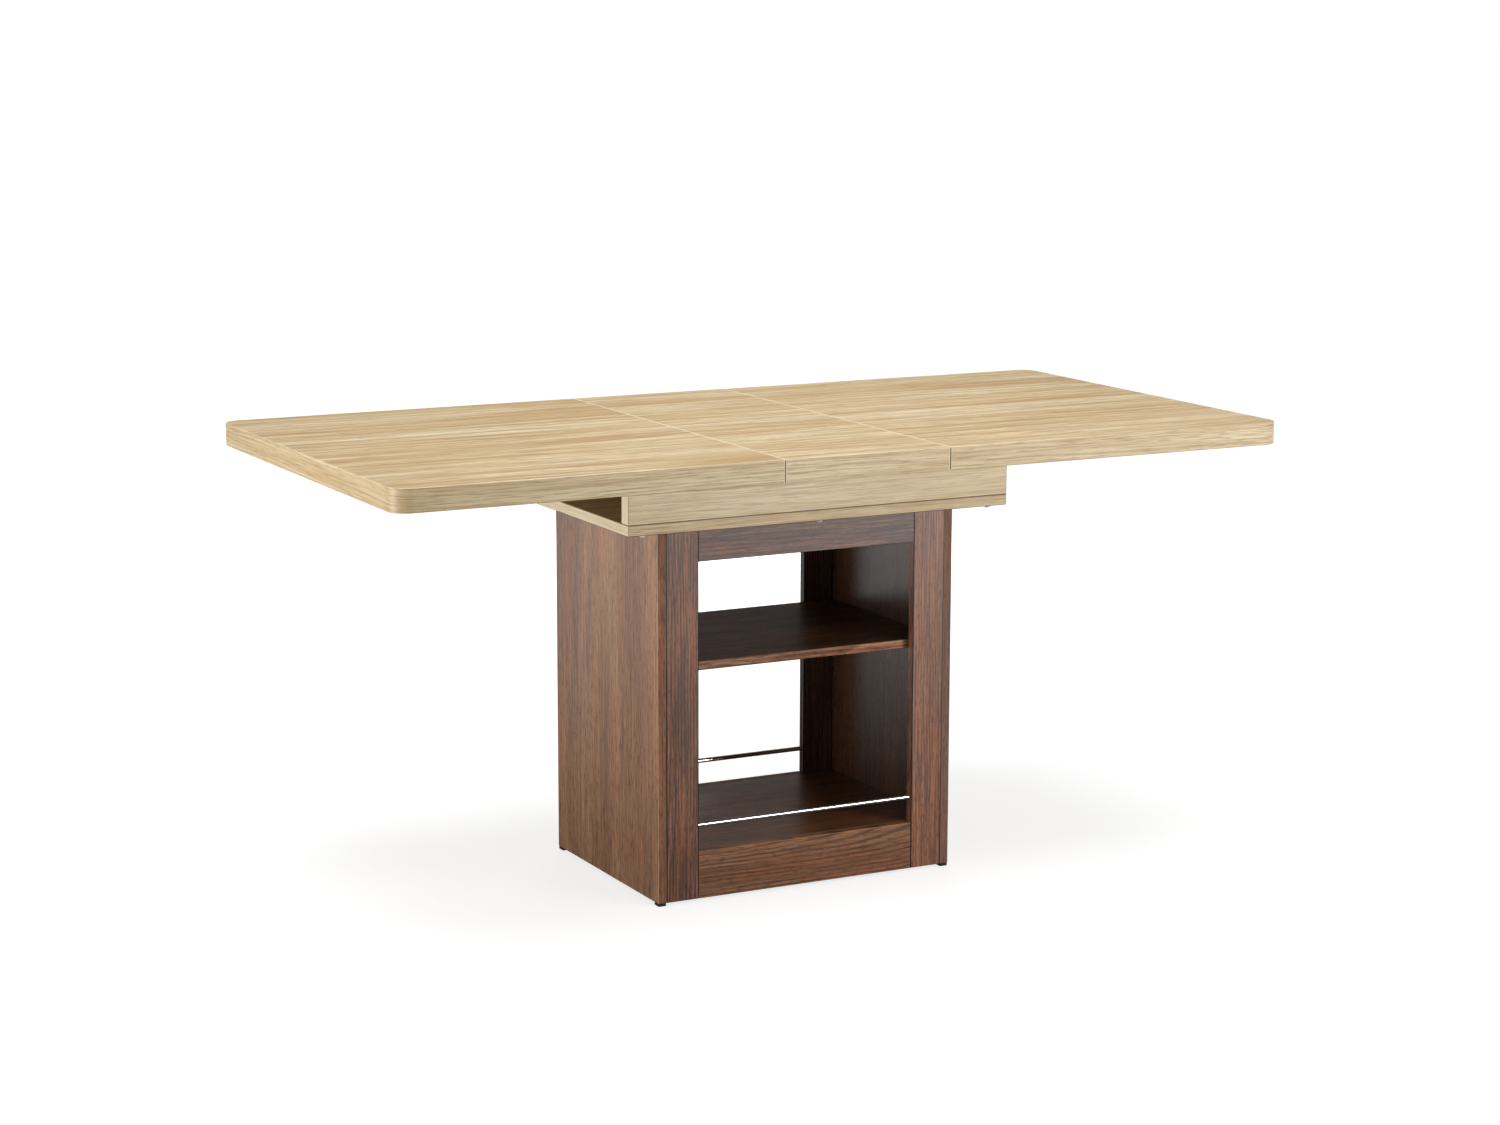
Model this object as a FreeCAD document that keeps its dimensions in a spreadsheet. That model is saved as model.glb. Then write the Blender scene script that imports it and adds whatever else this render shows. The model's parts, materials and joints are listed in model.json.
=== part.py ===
import FreeCAD, Part
import os
import re
import Sketcher

# Extending table: a three-part top on a leaf case, on an open pedestal with a shelf.
# Millimetres. +Z is up, +X runs along the table, -Y is the front.
# The origin is on the floor, below the middle of the table.

Vector = FreeCAD.Vector
Rotation = FreeCAD.Rotation

SIZES = [
    ("table_height", 760, "floor to the face of the top"),
    ("top_thickness", 38, "thickness of the three leaves"),
    ("top_width", 800, "front edge to rear edge"),
    ("end_leaf_length", 650, "length of each end leaf"),
    ("insert_length", 300, "space between the end leaves that the centre leaf fills"),
    ("seam_gap", 0.6, "gap at each side of the centre leaf"),
    ("corner_radius", 30, "outer corners of the end leaves"),
    ("top_arris", 1, "bevel along the edges of the leaves"),
    ("board_arris", 0.8, "bevel along the edges of all other boards"),
    ("leaf_running_gap", 1, "gap between the case boards and the leaves"),
    ("case_end_overhang", 75, "leaf case past the pedestal, at the left and at the right"),
    ("case_overhang", 50, "leaf case past the pedestal, at the front and at the rear"),
    ("case_board_height", 74, "front and rear case boards"),
    ("case_board_thickness", 25, "front and rear case boards"),
    ("case_bottom_thickness", 18, "case bottom"),
    ("foot_height", 5, "feet under the side panels"),
    ("foot_length", 16, "feet, front to rear"),
    ("foot_inset", 0.5, "feet stand back from the faces of the panel"),
    ("pedestal_length", 550, "pedestal, along X"),
    ("pedestal_width", 400, "pedestal, front to rear"),
    ("panel_thickness", 15, "side panels"),
    ("frame_thickness", 15, "stiles and rails of the face frames"),
    ("stile_width", 59, "stiles of the face frames"),
    ("top_rail_height", 60, "upper rails of the face frames"),
    ("bottom_rail_height", 80, "lower rails of the face frames"),
    ("inner_board_thickness", 15, "top and bottom boards inside the pedestal"),
    ("shelf_height", 400, "floor to the face of the shelf"),
    ("shelf_thickness", 15, "middle shelf"),
    ("shelf_setback", 3, "gap between the shelf and the backs of the stiles"),
    ("shelf_end_gap", 0.5, "gap between the shelf's ends and the side panels"),
    ("rod_radius", 4, "guard rods"),
    ("rod_height", 43.5, "bottom board to the axis of a guard rod"),
    ("rod_socket_depth", 10, "how far a guard rod enters a stile"),
    ("hole_clearance", 0.1, "drilled holes are this much larger in radius than what fills them"),
    ("rail_height", 26, "channel rails of the slides"),
    ("rail_depth", 12, "channel rails, from the case board to the mouth"),
    ("rail_wall", 2, "channel rails, wall"),
    ("rail_drop", 4, "channel rails lie this far below the top of the case boards"),
    ("rail_end_gap", 5, "channel rails stop this far inside the case's ends"),
    ("stop_length", 10, "stops at the ends of the channel rails"),
    ("slide_travel", 40, "how far an end leaf draws out past the centre leaf"),
    ("stop_clearance", 0.5, "slider to stop at the end of the travel"),
    ("slider_side_gap", 0.3, "slider to the channel, above and below"),
    ("slider_back_gap", 0.5, "slider to the back of the channel"),
    ("runner_gap", 2.5, "runner to the mouth of the channel"),
    ("runner_thickness", 2.5, "steel angle runners"),
    ("runner_flange", 25, "flange of a runner, against the leaf"),
    ("runner_length", 380, "runners, along X"),
    ("runner_inset", 5, "inner end of a runner to the seam"),
    ("batten_width", 20, "battens under the centre leaf"),
    ("batten_height", 18, "battens under the centre leaf"),
    ("batten_inset", 20, "ends of a batten to the seams"),
    ("batten_gap", 2, "batten to the mouth of the channel"),
    ("felt_radius", 10, "felt pads under the centre leaf"),
    ("felt_spread", 200, "felt pads, spacing along X"),
    ("dowel_radius", 4, "wooden dowels"),
    ("dowel_length", 30, "dowels between rails and stiles"),
    ("rail_dowel_spread", 30, "spacing of the two dowels at a rail's end"),
    ("panel_dowel_grip", 9, "how far a dowel enters a side panel"),
    ("stile_dowel_grip", 15, "how far that dowel enters a stile"),
    ("stile_dowel_end", 60, "outer dowels of a stile to its ends"),
    ("case_dowel_grip", 12, "how far a dowel enters the case bottom"),
    ("case_dowel_rise", 18, "how far that dowel enters a case board"),
    ("case_dowel_spread", 350, "spacing of the dowels of a case board"),
    ("cam_radius", 7.5, "cam locks"),
    ("cam_skin", 2.5, "board left above a cam lock"),
    ("cam_setback", 34, "cam lock's axis to the end of its board"),
    ("cam_inset", 60, "cam lock's axis to the front and rear edges of its board"),
    ("cam_bolt_radius", 3, "cam bolts"),
    ("cam_bolt_grip", 9, "how far a cam bolt enters a side panel"),
    ("cam_bolt_reach", 2, "cam bolts end this far past the cam's axis"),
    ("pin_radius", 2.5, "shelf pins"),
    ("pin_grip", 8, "how far a shelf pin enters a side panel"),
    ("pin_reach", 8, "how far a shelf pin stands out"),
    ("pin_inset", 45, "shelf pins to the backs of the stiles"),
    ("nail_radius", 1.25, "nails of the feet"),
    ("nail_length", 18, "nails of the feet"),
    ("nail_head_radius", 3, "nails of the feet"),
    ("nail_head_height", 1, "nails of the feet"),
    ("nail_recess", 1.5, "nail heads lie this deep in the feet"),
    ("case_screw_radius", 2.5, "screws up through the case bottom"),
    ("case_screw_length", 50, "screws up through the case bottom"),
    ("case_screw_head_radius", 4.5, "screws up through the case bottom"),
    ("case_screw_head_height", 3.5, "screws up through the case bottom"),
    ("case_screw_end", 30, "outer case screws to the case's ends"),
    ("cap_radius", 6.5, "domed caps over the case screws"),
    ("cap_height", 4.5, "domed caps over the case screws"),
    ("bolt_radius", 3, "bolts that hold the case to the pedestal"),
    ("bolt_engagement", 10, "how far a bolt enters its threaded insert"),
    ("bolt_head_radius", 7, "bolts that hold the case to the pedestal"),
    ("bolt_head_height", 3, "bolts that hold the case to the pedestal"),
    ("bolt_end", 60, "bolts to the side panels"),
    ("bolt_inset", 65, "bolts to the backs of the stiles"),
    ("insert_radius", 5, "threaded inserts in the pedestal's top board"),
    ("insert_skin", 3, "board left below a threaded insert"),
    ("rail_screw_radius", 1.6, "screws of the channel rails"),
    ("rail_screw_length", 18, "screws of the channel rails"),
    ("rail_screw_head_radius", 3.2, "screws of the channel rails"),
    ("rail_screw_head_height", 1.8, "screws of the channel rails"),
    ("rail_screw_end", 40, "outer rail screws to the rail's ends"),
    ("stop_screw_radius", 1.75, "screws of the stops"),
    ("stop_screw_length", 24, "screws of the stops"),
    ("stop_screw_head_radius", 3.5, "screws of the stops"),
    ("stop_screw_head_height", 2.5, "screws of the stops"),
    ("runner_screw_radius", 2, "screws of the runners"),
    ("runner_screw_length", 22, "screws of the runners"),
    ("runner_screw_head_radius", 4, "screws of the runners"),
    ("runner_screw_head_height", 2.4, "screws of the runners"),
    ("runner_screw_end", 25, "outer runner screws to the runner's ends"),
    ("slider_screw_radius", 1.75, "screws of the sliders"),
    ("slider_screw_length", 11, "screws of the sliders"),
    ("slider_screw_head_radius", 3.5, "screws of the sliders"),
    ("slider_screw_head_height", 2, "screws of the sliders"),
    ("slider_screw_end", 25, "screws of a slider to its ends"),
    ("batten_screw_radius", 2, "screws of the battens"),
    ("batten_screw_length", 36, "screws of the battens"),
    ("batten_screw_head_radius", 4, "screws of the battens"),
    ("batten_screw_head_height", 3, "screws of the battens"),
    ("batten_screw_end", 30, "outer batten screws to the batten's ends"),
]

# Levels and distances that follow from the sizes. Those named _x or _y are half widths,
# measured from the middle of the table, and hold for both of its sides.
FORMULAS = {
    "top_underside": "table_height - top_thickness",
    "case_board_top": "top_underside - leaf_running_gap",
    "case_floor": "case_board_top - case_board_height",
    "case_underside": "case_floor - case_bottom_thickness",
    "case_length": "pedestal_length + 2 * case_end_overhang",
    "case_width": "pedestal_width + 2 * case_overhang",
    "case_inner_y": "case_width / 2 - case_board_thickness",
    "case_board_y": "(case_width - case_board_thickness) / 2",
    "pedestal_height": "case_underside - foot_height",
    "panel_x": "(pedestal_length - panel_thickness) / 2",
    "panel_inner_x": "pedestal_length / 2 - panel_thickness",
    "opening_x": "panel_inner_x - stile_width",
    "frame_y": "(pedestal_width - frame_thickness) / 2",
    "frame_back_y": "pedestal_width / 2 - frame_thickness",
    "bottom_board_top": "foot_height + bottom_rail_height",
    "bottom_board_underside": "bottom_board_top - inner_board_thickness",
    "top_board_underside": "case_underside - inner_board_thickness",
    "shelf_underside": "shelf_height - shelf_thickness",
    "foot_y": "pedestal_width / 2 - foot_inset - foot_length / 2",
    "rod_end_x": "opening_x + rod_socket_depth",
    "rail_end_x": "case_length / 2 - rail_end_gap",
    "rail_mouth_y": "case_inner_y - rail_depth",
    "rail_back_y": "case_inner_y - rail_wall",
    "rail_bottom": "case_board_top - rail_drop - rail_height",
    "stop_x": "rail_end_x - stop_length / 2",
    "slider_inner_x": "insert_length / 2 + runner_inset",
    "slider_outer_x": "rail_end_x - stop_length - slide_travel - stop_clearance",
    "slider_length": "slider_outer_x - slider_inner_x",
    "slider_x": "(slider_outer_x + slider_inner_x) / 2",
    "slider_bottom": "rail_bottom + rail_wall + slider_side_gap",
    "slider_height": "rail_height - 2 * rail_wall - 2 * slider_side_gap",
    "slider_depth": "rail_depth + runner_gap - rail_wall - slider_back_gap",
    "runner_outer_y": "rail_mouth_y - runner_gap",
    "runner_inner_y": "runner_outer_y - runner_thickness",
    "runner_height": "top_underside - slider_bottom",
    "runner_screw_y": "runner_inner_y - (runner_flange - runner_thickness) / 2",
    "runner_x": "slider_inner_x + runner_length / 2",
    "batten_length": "insert_length - 2 * batten_inset",
    "batten_y": "rail_mouth_y - batten_gap - batten_width / 2",
    "batten_underside": "top_underside - batten_height",
    "end_leaf_x": "(insert_length + end_leaf_length) / 2",
    "cam_x": "panel_inner_x - cam_setback",
    "cam_y": "frame_back_y - cam_inset",
    "cam_height": "inner_board_thickness - cam_skin",
    "bolt_x": "panel_inner_x - bolt_end",
    "bolt_y": "frame_back_y - bolt_inset",
    "bolt_length": "case_bottom_thickness + bolt_engagement",
    "insert_depth": "inner_board_thickness - insert_skin",
    "pin_y": "frame_back_y - pin_inset",
    "cap_sphere_radius": "(cap_radius * cap_radius + cap_height * cap_height) / (2 * cap_height)",
}
FUNCTIONS = ("asin",)

LEFT_RIGHT = {"left": -1, "right": 1}
FRONT_REAR = {"front": -1, "rear": 1}
BOTH = (-1, 1)
THREE = (-1, 0, 1)

# Turns a cylinder, which stands along +Z, to point along an axis.
DIRECTIONS = {
    "+x": Rotation(Vector(0, 1, 0), 90),
    "-x": Rotation(Vector(0, 1, 0), -90),
    "+y": Rotation(Vector(1, 0, 0), -90),
    "-y": Rotation(Vector(1, 0, 0), 90),
    "+z": Rotation(),
    "-z": Rotation(Vector(1, 0, 0), 180),
}
HALF_TURN = Rotation(Vector(0, 0, 1), 180)

doc = FreeCAD.newDocument("extending_table")
nodes = {}


def make_sheet():
    sheet = doc.addObject("Spreadsheet::Sheet", "sizes")
    for row, (alias, number, meaning) in enumerate(SIZES, start=1):
        sheet.set(f"A{row}", meaning)
        sheet.set(f"B{row}", str(number))
        sheet.setAlias(f"B{row}", alias)
    doc.recompute()


def expression(text):
    """Spell out a size formula as an expression on the sheet's cells."""
    def spell(match):
        word = match.group(0)
        if word in FUNCTIONS:
            return word
        if word in FORMULAS:
            return f"({expression(FORMULAS[word])})"
        return f"sizes.{word}"
    return re.sub(r"[a-z][a-z_]*", spell, text)


def bind(obj, **formulas):
    for name, text in formulas.items():
        obj.setExpression(name, expression(text))


def place(obj, spot, turn=Rotation()):
    """Put an object at a spot of three formulas, turned about its own origin."""
    obj.Placement = FreeCAD.Placement(Vector(), turn)
    for axis, text in zip("xyz", spot):
        obj.setExpression(f"Placement.Base.{axis}", expression(text))


def node(label, obj):
    """Enter an object as a piece of the table."""
    obj.Label = label
    nodes[label] = obj
    return obj


def group(name, members):
    compound = doc.addObject("Part::Compound", name)
    compound.Links = members
    return compound


# Bodies made from a sketch

def new_sketch(body, plane):
    sketch = body.newObject("Sketcher::SketchObject", f"{body.Name}_sketch")
    support = [face for face in body.Origin.OriginFeatures if face.Role == plane][0]
    sketch.AttachmentSupport = [(support, "")]
    sketch.MapMode = "FlatFace"
    return sketch


def draw_loop(sketch, points):
    count = len(points)
    for index, point in enumerate(points):
        sketch.addGeometry(Part.LineSegment(point, points[(index + 1) % count]), False)
    for index in range(count):
        sketch.addConstraint(Sketcher.Constraint("Coincident", index, 2, (index + 1) % count, 1))


def name_constraint(sketch, name, constraint, formula):
    index = sketch.addConstraint(constraint)
    sketch.renameConstraint(index, name)
    sketch.setExpression(f"Constraints.{name}", expression(formula))


def draw_rectangle(sketch, width, height):
    """A rectangle about the sketch's origin."""
    draw_loop(sketch, [Vector(-1, -1), Vector(1, -1), Vector(1, 1), Vector(-1, 1)])
    for index in (0, 2):
        sketch.addConstraint(Sketcher.Constraint("Horizontal", index))
        sketch.addConstraint(Sketcher.Constraint("Vertical", index + 1))
    sketch.addConstraint(Sketcher.Constraint("Symmetric", 0, 1, 2, 1, -1, 1))
    name_constraint(sketch, "width", Sketcher.Constraint("DistanceX", 0, 1, 0, 2, 2), width)
    name_constraint(sketch, "height", Sketcher.Constraint("DistanceY", 1, 1, 1, 2, 2), height)


def draw_profile(sketch, corners, rough):
    """A closed outline whose corners lie at formulas; rough places give its shape to start from."""
    draw_loop(sketch, [Vector(x, y) for x, y in rough])
    for index, (across, up) in enumerate(corners):
        to_x = Sketcher.Constraint("DistanceX", -1, 1, index, 1, rough[index][0])
        to_y = Sketcher.Constraint("DistanceY", -1, 1, index, 1, rough[index][1])
        name_constraint(sketch, f"across{index}", to_x, across)
        name_constraint(sketch, f"up{index}", to_y, up)


def pad(body, sketch, length):
    feature = body.newObject("PartDesign::Pad", f"{body.Name}_pad")
    feature.Profile = sketch
    bind(feature, Length=length)
    doc.recompute()
    return feature


def bevel_all(body, feature, arris):
    chamfer = body.newObject("PartDesign::Chamfer", f"{body.Name}_arris")
    chamfer.Base = (feature, [""])
    chamfer.UseAllEdges = True
    bind(chamfer, Size=arris)


def board(name, size, spot, arris="board_arris"):
    """A board of three sizes, with its middle at the spot and its underside at the spot's height."""
    body = doc.addObject("PartDesign::Body", name)
    sketch = new_sketch(body, "XY_Plane")
    draw_rectangle(sketch, size[0], size[1])
    bevel_all(body, pad(body, sketch, size[2]), arris)
    place(body, spot)
    return body


def extrusion(name, corners, rough, length, spot, turn):
    """A profile in the Y-Z plane, drawn out along X."""
    body = doc.addObject("PartDesign::Body", name)
    sketch = new_sketch(body, "YZ_Plane")
    draw_profile(sketch, corners, rough)
    pad(body, sketch, length)
    place(body, spot, turn)
    return body


# Round pieces and the holes that take them

def cylinder(name, spot, direction, radius, length):
    rod = doc.addObject("Part::Cylinder", name)
    bind(rod, Radius=radius, Height=length)
    place(rod, spot, DIRECTIONS[direction])
    return rod


def cone(name, spot, direction, radius, end_radius, length):
    taper = doc.addObject("Part::Cone", name)
    bind(taper, Radius1=radius, Radius2=end_radius, Height=length)
    place(taper, spot, DIRECTIONS[direction])
    return taper


def fuse(name, first, second):
    union = doc.addObject("Part::Fuse", name)
    union.Base = first
    union.Tool = second
    return union


def drilled(label, blank, *holes):
    """A piece of the table: the blank with its holes taken out."""
    cut = doc.addObject("Part::Cut", f"{label}_drilled")
    cut.Base = blank
    cut.Tool = holes[0] if len(holes) == 1 else group(f"{label}_holes", list(holes))
    return node(label, cut)


def round_set(name, spots, direction, radius, length):
    """Plain cylinders, one at each spot, and the holes that take them."""
    wide = f"{radius} + hole_clearance"
    pieces = []
    holes = []
    for index, spot in enumerate(spots):
        pieces.append(cylinder(f"{name}_{index}", spot, direction, radius, length))
        holes.append(cylinder(f"{name}_hole_{index}", spot, direction, wide, length))
    return group(name, pieces), group(f"{name}_holes", holes)


def sunk_screw(name, spot, direction, size, room=""):
    """A screw whose tapered head is flush with the surface at the spot."""
    radius = f"{size}_radius{room}"
    head = cone(f"{name}_head", spot, direction, f"{size}_head_radius{room}", radius, f"{size}_head_height")
    return fuse(name, head, cylinder(f"{name}_shank", spot, direction, radius, f"{size}_length"))


def pan_screw(name, spot, direction, size, room=""):
    """A screw whose round head stands on the surface at the spot."""
    back = {"+": "-", "-": "+"}[direction[0]] + direction[1]
    head = cylinder(f"{name}_head", spot, back, f"{size}_head_radius{room}", f"{size}_head_height")
    shank = cylinder(f"{name}_shank", spot, direction, f"{size}_radius{room}", f"{size}_length")
    return fuse(name, head, shank)


def screw_set(name, make_screw, spots, size):
    """Screws, one at each spot with its direction, and the holes that take them."""
    room = " + hole_clearance"
    screws = []
    holes = []
    for index, (spot, direction) in enumerate(spots):
        screws.append(make_screw(f"{name}_{index}", spot, direction, size))
        holes.append(make_screw(f"{name}_hole_{index}", spot, direction, size, room))
    return group(name, screws), group(f"{name}_holes", holes)


# Pedestal

def side_name(first, second, name):
    return f"{first}_{second}_{name}"


def pedestal_dowels():
    rail_spots = []
    stile_spots = []
    for end in BOTH:
        depth = f"{end} * frame_y"
        rail_levels = ["foot_height + bottom_rail_height / 2", "case_underside - top_rail_height / 2"]
        for side in BOTH:
            for level in rail_levels:
                for step in BOTH:
                    height = f"{level} + {step} * rail_dowel_spread / 2"
                    rail_spots.append((f"{side} * opening_x - dowel_length / 2", depth, height))
    rails = round_set("rail_dowels", rail_spots, "+x", "dowel_radius", "dowel_length")
    length = "panel_dowel_grip + stile_dowel_grip"
    for end in BOTH:
        for side, inset in ((-1, "panel_dowel_grip"), (1, "stile_dowel_grip")):
            for step in THREE:
                height = f"foot_height + pedestal_height / 2 + {step} * (pedestal_height / 2 - stile_dowel_end)"
                stile_spots.append((f"{side} * panel_inner_x - {inset}", f"{end} * frame_y", height))
    stiles = round_set("stile_dowels", stile_spots, "+x", "dowel_radius", length)
    return rails, stiles


def guard_rods():
    """Rods that run from stile to stile, and the holes for their ends."""
    holes = []
    for end_name, end in FRONT_REAR.items():
        spot = ("-rod_end_x", f"{end} * frame_y", "bottom_board_top + rod_height")
        length = "2 * rod_end_x"
        node(f"{end_name}_guard_rod", cylinder(f"{end_name}_rod", spot, "+x", "rod_radius", length))
        wide = "rod_radius + hole_clearance"
        holes.append(cylinder(f"{end_name}_rod_hole", spot, "+x", wide, length))
    return group("rod_holes", holes)


def face_frames(rail_dowel_holes, stile_dowel_holes, rod_holes):
    for end_name, end in FRONT_REAR.items():
        depth = f"{end} * frame_y"
        for side_word, side in LEFT_RIGHT.items():
            label = side_name(end_name, side_word, "stile")
            size = ("stile_width", "frame_thickness", "pedestal_height")
            spot = (f"{side} * (panel_inner_x - stile_width / 2)", depth, "foot_height")
            blank = board(f"{label}_blank", size, spot)
            drilled(label, blank, rail_dowel_holes, stile_dowel_holes, rod_holes)
        rails = (
            ("top_rail", "top_rail_height", "case_underside - top_rail_height"),
            ("bottom_rail", "bottom_rail_height", "foot_height"),
        )
        for rail, height, level in rails:
            label = f"{end_name}_{rail}"
            size = ("2 * opening_x", "frame_thickness", height)
            blank = board(f"{label}_blank", size, ("0", depth, level))
            drilled(label, blank, rail_dowel_holes)


def cam_fittings():
    """Cam locks in the undersides of the inner boards, each drawn tight on a bolt from a side panel."""
    cams = []
    cam_holes = []
    bolt_spots = []
    length = "cam_bolt_grip + cam_setback + cam_bolt_reach"
    for level in ("bottom_board_underside", "top_board_underside"):
        for side, reach in ((-1, "-panel_inner_x - cam_bolt_grip"), (1, "cam_x - cam_bolt_reach")):
            for end in BOTH:
                spot = (f"{side} * cam_x", f"{end} * cam_y", level)
                index = len(cams)
                cams.append(cylinder(f"cam_{index}", spot, "+z", "cam_radius", "cam_height"))
                wide = "cam_radius + hole_clearance"
                cam_holes.append(cylinder(f"cam_hole_{index}", spot, "+z", wide, "cam_height"))
                bolt_spots.append((reach, f"{end} * cam_y", f"{level} + inner_board_thickness / 2"))
    bolts, bolt_holes = round_set("cam_bolts", bolt_spots, "+x", "cam_bolt_radius", length)
    node("cam_bolts", bolts)
    drilled("cam_locks", group("cam_blanks", cams), bolt_holes)
    return group("cam_holes", cam_holes), bolt_holes


def shelf_and_pins():
    spots = []
    length = "pin_grip + pin_reach"
    for side, inset in ((-1, "pin_grip"), (1, "pin_reach")):
        for end in BOTH:
            level = "shelf_underside - pin_radius - hole_clearance"
            spots.append((f"{side} * panel_inner_x - {inset}", f"{end} * pin_y", level))
    pins, pin_holes = round_set("shelf_pins", spots, "+x", "pin_radius", length)
    node("shelf_pins", pins)
    size = ("2 * (panel_inner_x - shelf_end_gap)", "2 * (frame_back_y - shelf_setback)", "shelf_thickness")
    node("middle_shelf", board("shelf", size, ("0", "0", "shelf_underside")))
    return pin_holes


def feet():
    """Feet under the ends of the side panels, each held by a nail from below."""
    nails = []
    nail_holes = []
    for end_name, end in FRONT_REAR.items():
        for side_word, side in LEFT_RIGHT.items():
            name = side_name(end_name, side_word, "nail")
            spot = (f"{side} * panel_x", f"{end} * foot_y", "nail_recess + nail_head_height")
            nails.append(pan_screw(name, spot, "+z", "nail"))
            sink = cylinder(f"{name}_sink", spot, "-z", "nail_head_radius + hole_clearance",
                            "nail_recess + nail_head_height")
            bore = cylinder(f"{name}_bore", spot, "+z", "nail_radius + hole_clearance", "nail_length")
            nail_holes.append(fuse(f"{name}_hole", sink, bore))
    node("foot_nails", group("foot_nail_set", nails))
    holes = group("nail_holes", nail_holes)
    for end_name, end in FRONT_REAR.items():
        for side_word, side in LEFT_RIGHT.items():
            label = side_name(end_name, side_word, "foot")
            size = ("panel_thickness - 2 * foot_inset", "foot_length", "foot_height")
            blank = board(f"{label}_blank", size, (f"{side} * panel_x", f"{end} * foot_y", "0"))
            drilled(label, blank, holes)
    return holes


def pedestal(bolt_holes, insert_holes):
    (rail_dowels, rail_dowel_holes), (stile_dowels, stile_dowel_holes) = pedestal_dowels()
    node("rail_dowels", rail_dowels)
    node("stile_dowels", stile_dowels)
    face_frames(rail_dowel_holes, stile_dowel_holes, guard_rods())
    cam_holes, cam_bolt_holes = cam_fittings()
    pin_holes = shelf_and_pins()
    nail_holes = feet()
    for side_word, side in LEFT_RIGHT.items():
        label = f"{side_word}_side_panel"
        size = ("panel_thickness", "pedestal_width", "pedestal_height")
        blank = board(f"{label}_blank", size, (f"{side} * panel_x", "0", "foot_height"))
        drilled(label, blank, stile_dowel_holes, cam_bolt_holes, pin_holes, nail_holes)
    size = ("2 * panel_inner_x", "2 * frame_back_y", "inner_board_thickness")
    blank = board("bottom_board_blank", size, ("0", "0", "bottom_board_underside"))
    drilled("bottom_board", blank, cam_holes, cam_bolt_holes)
    blank = board("top_board_blank", size, ("0", "0", "top_board_underside"))
    drilled("pedestal_top_board", blank, cam_holes, cam_bolt_holes, insert_holes, bolt_holes)


# Leaf case

def pedestal_bolts():
    """Bolts down through the case bottom into threaded inserts in the pedestal's top board."""
    spots = []
    for side in BOTH:
        for end in BOTH:
            spots.append((f"{side} * bolt_x", f"{end} * bolt_y"))
    bolt_spots = [((x, y, "case_floor"), "-z") for x, y in spots]
    bolts, bolt_holes = screw_set("pedestal_bolts", pan_screw, bolt_spots, "bolt")
    node("pedestal_bolts", bolts)
    sockets = [(x, y, "case_underside") for x, y in spots]
    blanks, insert_holes = round_set("insert_blanks", sockets, "-z", "insert_radius", "insert_depth")
    drilled("threaded_inserts", blanks, bolt_holes)
    return bolt_holes, insert_holes


def screw_caps(spots):
    caps = []
    for index, (spot, _) in enumerate(spots):
        cap = doc.addObject("Part::Sphere", f"cap_{index}")
        bind(cap, Radius="cap_sphere_radius")
        bind(cap, Angle2="-asin((cap_sphere_radius - cap_height) / cap_sphere_radius)")
        place(cap, (spot[0], spot[1], "case_underside + cap_sphere_radius - cap_height"))
        caps.append(cap)
    node("case_screw_caps", group("case_screw_cap_set", caps))


def leaf_case(bolt_holes, rail_screw_holes, stop_screw_holes):
    screw_spots = []
    dowel_spots = []
    for end in BOTH:
        for step in THREE:
            along = f"{step} * (case_length / 2 - case_screw_end)"
            screw_spots.append(((along, f"{end} * case_board_y", "case_underside"), "+z"))
        for side in BOTH:
            along = f"{side} * case_dowel_spread / 2"
            dowel_spots.append((along, f"{end} * case_board_y", "case_floor - case_dowel_grip"))
    screws, screw_holes = screw_set("case_screws", sunk_screw, screw_spots, "case_screw")
    node("case_screws", screws)
    screw_caps(screw_spots)
    length = "case_dowel_grip + case_dowel_rise"
    dowels, dowel_holes = round_set("case_dowels", dowel_spots, "+z", "dowel_radius", length)
    node("case_dowels", dowels)
    size = ("case_length", "case_width", "case_bottom_thickness")
    blank = board("case_bottom_blank", size, ("0", "0", "case_underside"))
    drilled("case_bottom", blank, screw_holes, dowel_holes, bolt_holes)
    for end_name, end in FRONT_REAR.items():
        label = f"{end_name}_case_board"
        size = ("case_length", "case_board_thickness", "case_board_height")
        blank = board(f"{label}_blank", size, ("0", f"{end} * case_board_y", "case_floor"))
        drilled(label, blank, screw_holes, dowel_holes, rail_screw_holes, stop_screw_holes)


# Slides of the end leaves

def outward(end):
    return "-y" if end < 0 else "+y"


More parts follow.
